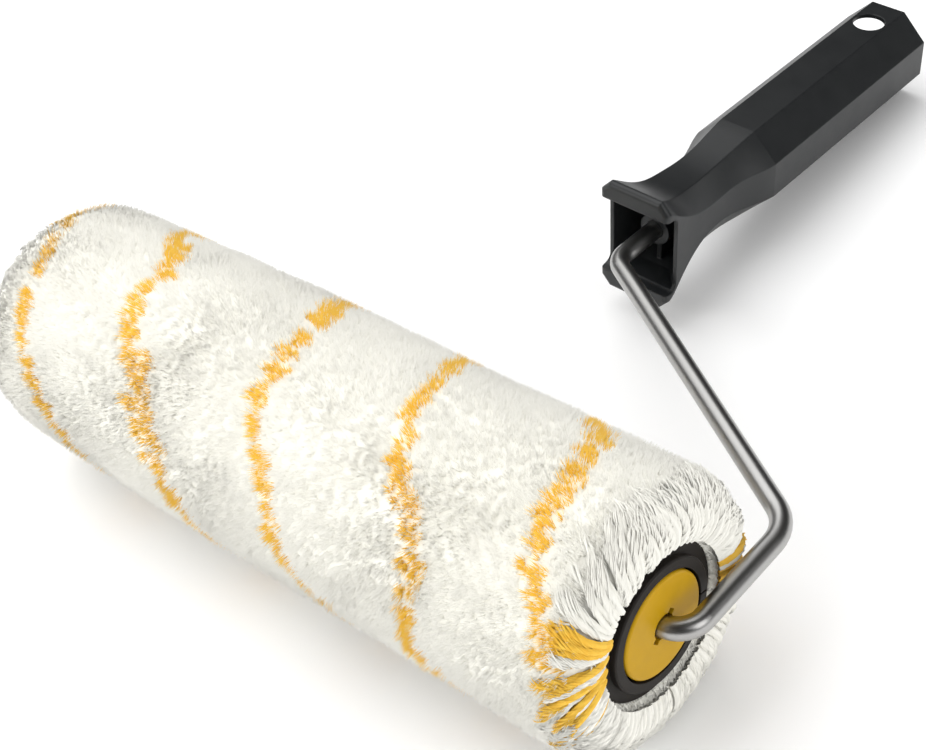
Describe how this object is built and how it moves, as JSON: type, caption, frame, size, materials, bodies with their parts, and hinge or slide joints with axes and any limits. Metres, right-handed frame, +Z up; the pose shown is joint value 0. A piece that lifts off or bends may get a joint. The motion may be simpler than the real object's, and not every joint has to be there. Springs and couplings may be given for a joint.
{
  "type": "paint roller",
  "caption": "Long-pile paint roller: striped cover on end bearings, bent steel rod frame, hollow eight-sided moulded handle with a hanging hole.",
  "frame": {"origin": "centre of the bounding box on the floor plane", "axes": "+X along the cover's axis towards the end where the rod leaves it, +Y from the cover towards the handle's butt, +Z up; the part lies on the floor on its cover and the lower edge of the butt"},
  "size_m": [0.2626, 0.338, 0.0858],
  "materials": {
    "handle_plastic": "fine moulded satin",
    "rod_steel": "bright drawn zinc-plated steel",
    "core_plastic": "plain extruded tube",
    "woven_backing": "woven",
    "pile_yarn": "long thread pile with orange-yellow stripe yarn",
    "cap_plastic": "moulded, dark grey brown",
    "bearing_plastic": "moulded, golden yellow"
  },
  "bodies": {
    "frame": {"handle": "handle_plastic", "wire_frame": "rod_steel"},
    "cover": {"core_tube": "core_plastic", "cover_backing": "woven_backing", "pile": "pile_yarn", "near_cap_ring": "cap_plastic", "near_bearing_disc": "bearing_plastic", "far_cap_ring": "cap_plastic", "far_bearing_disc": "bearing_plastic"}
  },
  "joints": [
    {"name": "cover_spin", "type": "hinge", "parent": "frame", "child": "cover", "pos_m": [0.12021, -0.12607, 0.0429], "axis": [1, 0, 0], "continuous": true}
  ]
}
